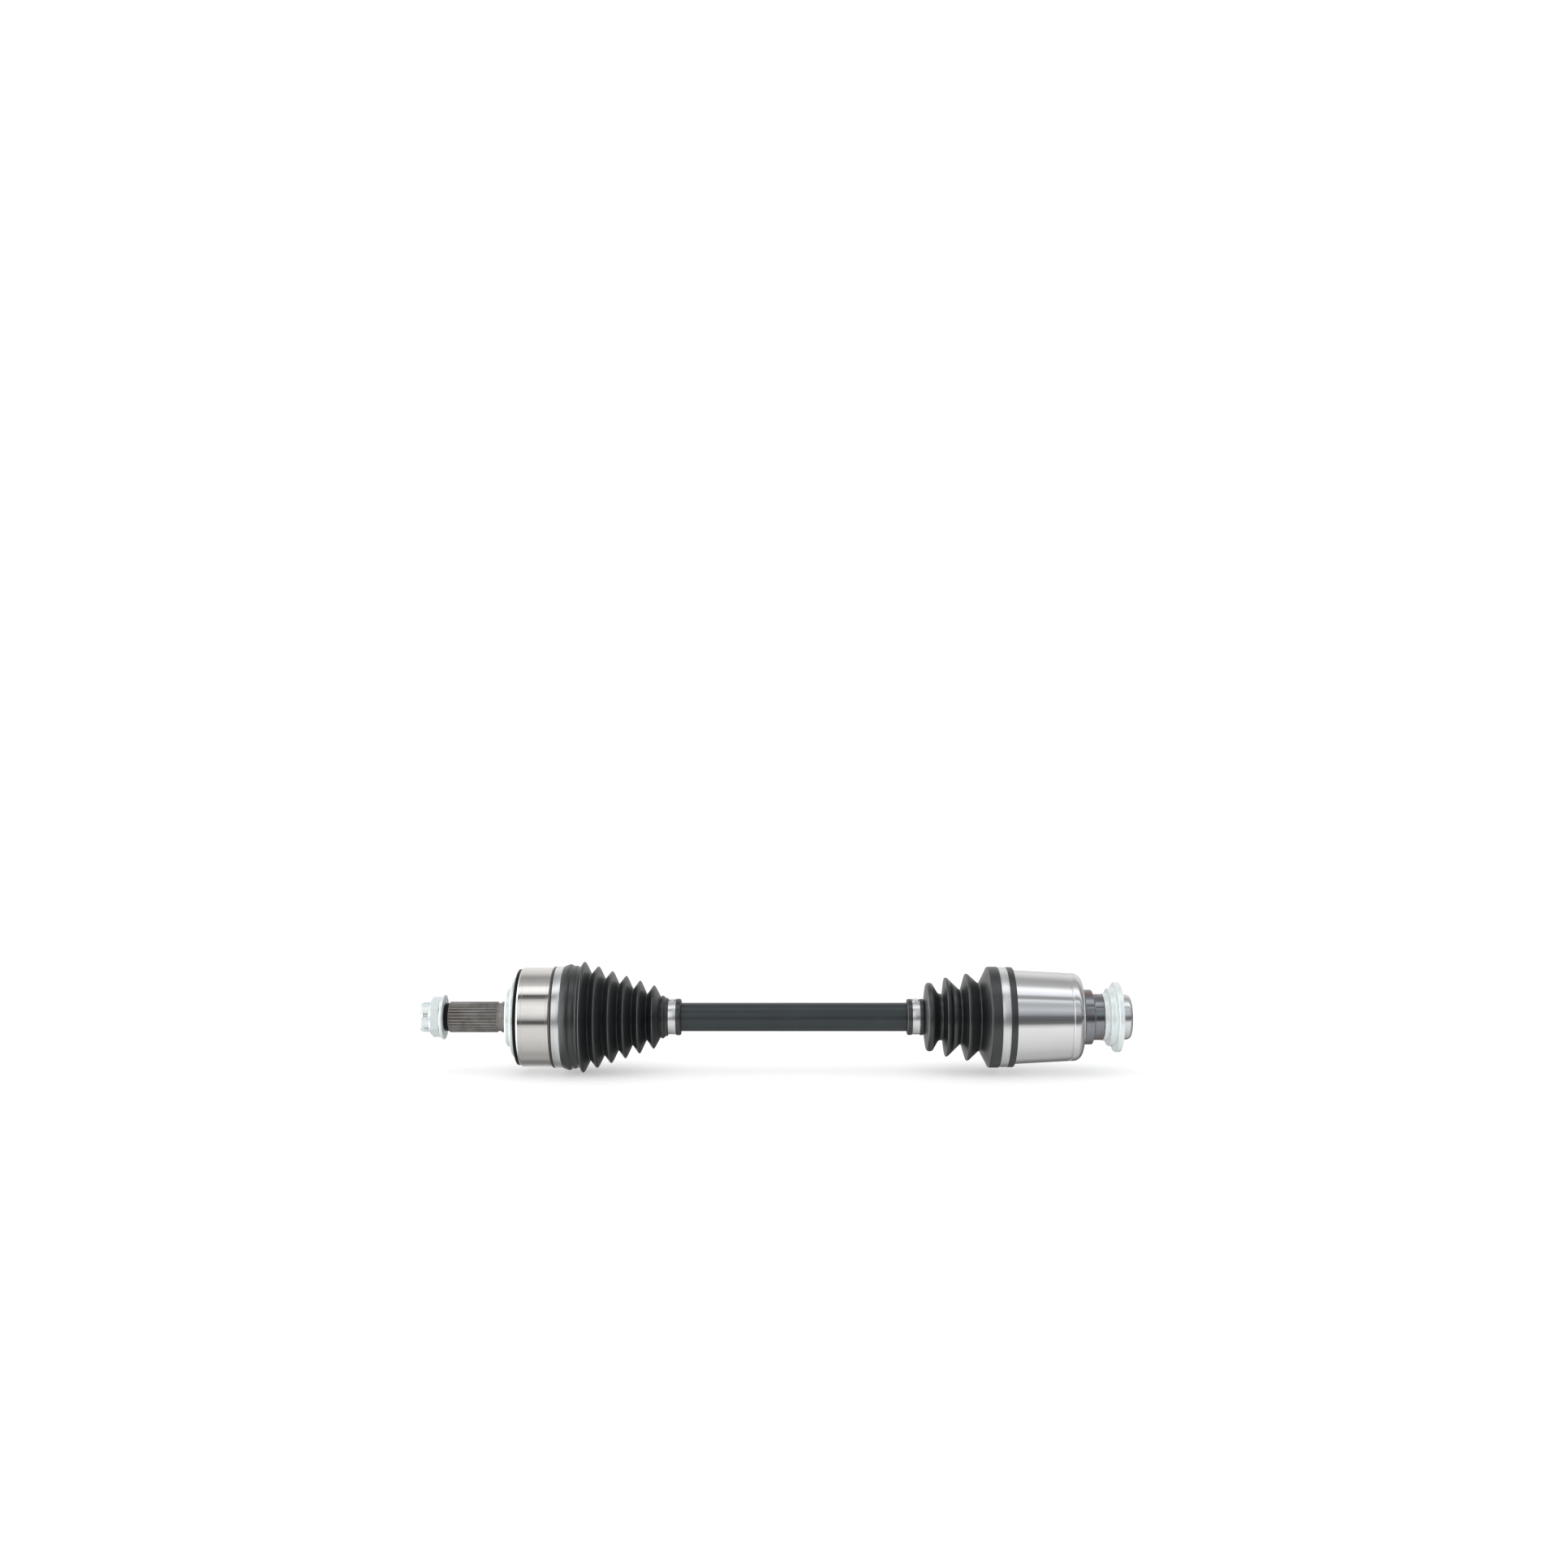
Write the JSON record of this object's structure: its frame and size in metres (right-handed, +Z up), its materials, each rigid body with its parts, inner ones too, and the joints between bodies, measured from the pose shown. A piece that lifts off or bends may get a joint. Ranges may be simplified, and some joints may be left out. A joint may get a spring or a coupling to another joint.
{
  "type": "cv axle",
  "caption": "Front drive axle: ball joint with a splined stub and nut, solid bar, and sliding tripod joint with a splined socket, each joint under a rubber boot.",
  "frame": {"origin": "on the axle's axis, in the plane of the shoulder that the wheel hub seats against", "axes": "+X along the axle from the wheel end to the gearbox end, +Z up"},
  "size_m": [0.6503, 0.101, 0.101],
  "materials": {
    "turned_steel": "turned, lightly oiled",
    "polished_steel": "finely turned and polished",
    "zinc": "bright zinc plate with a pale blue passivate",
    "black_ring": "black coated",
    "band_steel": "rolled stainless band",
    "boot_rubber": "moulded, satin",
    "hardened_steel": "hardened and ground",
    "bearing_steel": "ground and polished",
    "spring_steel": "phosphated spring steel",
    "bar_paint": "satin black paint"
  },
  "bodies": {
    "axle_shaft": {"axle_bar": "bar_paint", "inner_race": "hardened_steel", "race_circlip": "spring_steel", "outer_small_clamp": "band_steel", "inner_small_clamp": "band_steel", "spider": "hardened_steel", "spider_stop_ring": "spring_steel", "spider_circlip": "spring_steel", "roller_clips": "spring_steel"},
    "ball_cage": {"ball_cage": "hardened_steel", "balls": "bearing_steel", "outer_boot": "boot_rubber"},
    "outer_joint": {"outer_housing": "turned_steel", "outer_dust_shield": "zinc", "outer_backing_ring": "black_ring", "outer_large_clamp": "band_steel"},
    "nut_washer": {"nut_washer": "zinc"},
    "hub_nut": {"hub_nut": "zinc"},
    "boot_front": {"inner_boot_front": "boot_rubber"},
    "boot_rear": {"inner_boot_rear": "boot_rubber"},
    "inner_joint": {"tripod_housing": "polished_steel", "inner_large_clamp": "band_steel", "inner_dust_shield": "zinc", "grease_plug": "spring_steel"},
    "roller_1": {"roller_1": "bearing_steel", "needles_1": "bearing_steel"},
    "roller_2": {"roller_2": "bearing_steel", "needles_2": "bearing_steel"},
    "roller_3": {"roller_3": "bearing_steel", "needles_3": "bearing_steel"}
  },
  "joints": [
    {"name": "outer_bend_y", "type": "hinge", "parent": "axle_shaft", "child": "ball_cage", "pos_m": [0.037, 0, 0], "axis": [0, 1, 0], "range_deg": [-30, 30], "deforming": ["outer_boot"]},
    {"name": "outer_bend_z", "type": "hinge", "parent": "ball_cage", "child": "outer_joint", "pos_m": [0.037, 0, 0], "axis": [0, 0, 1], "range_deg": [-30, 30], "deforming": ["outer_boot"]},
    {"name": "nut_travel", "type": "slide", "parent": "outer_joint", "child": "nut_washer", "axis": [-1, 0, 0], "range_m": [0, 0.0234]},
    {"name": "nut_turn", "type": "hinge", "parent": "nut_washer", "child": "hub_nut", "pos_m": [-0.0665, 0, 0], "axis": [-1, 0, 0], "range_deg": [0, 5400]},
    {"name": "inner_bend_y", "type": "hinge", "parent": "axle_shaft", "child": "boot_front", "pos_m": [0.47, 0, 0], "axis": [0, 1, 0], "range_deg": [-13, 13], "deforming": ["inner_boot_front", "inner_boot_rear"]},
    {"name": "inner_bend_z", "type": "hinge", "parent": "boot_front", "child": "boot_rear", "pos_m": [0.47, 0, 0], "axis": [0, 0, 1], "range_deg": [-13, 13], "deforming": ["inner_boot_rear"]},
    {"name": "inner_plunge", "type": "slide", "parent": "boot_rear", "child": "inner_joint", "axis": [1, 0, 0], "range_m": [-0.012, 0.012], "deforming": ["inner_boot_rear"]},
    {"name": "roller_1_roll", "type": "hinge", "parent": "axle_shaft", "child": "roller_1", "pos_m": [0.47, 0, 0.02375], "axis": [0, 0, 1], "range_deg": [-46, 46]},
    {"name": "roller_2_roll", "type": "hinge", "parent": "axle_shaft", "child": "roller_2", "pos_m": [0.47, -0.02057, -0.01188], "axis": [0, -0.866, -0.5], "range_deg": [-46, 46]},
    {"name": "roller_3_roll", "type": "hinge", "parent": "axle_shaft", "child": "roller_3", "pos_m": [0.47, 0.02057, -0.01188], "axis": [0, 0.866, -0.5], "range_deg": [-46, 46]}
  ],
  "couplings": [
    {"joint": "nut_travel", "follows": "nut_turn", "m_per_rad": 0.00023873},
    {"joint": "roller_1_roll", "follows": "inner_plunge", "rad_per_m": -65.789},
    {"joint": "roller_2_roll", "follows": "inner_plunge", "rad_per_m": -65.789},
    {"joint": "roller_3_roll", "follows": "inner_plunge", "rad_per_m": -65.789}
  ]
}
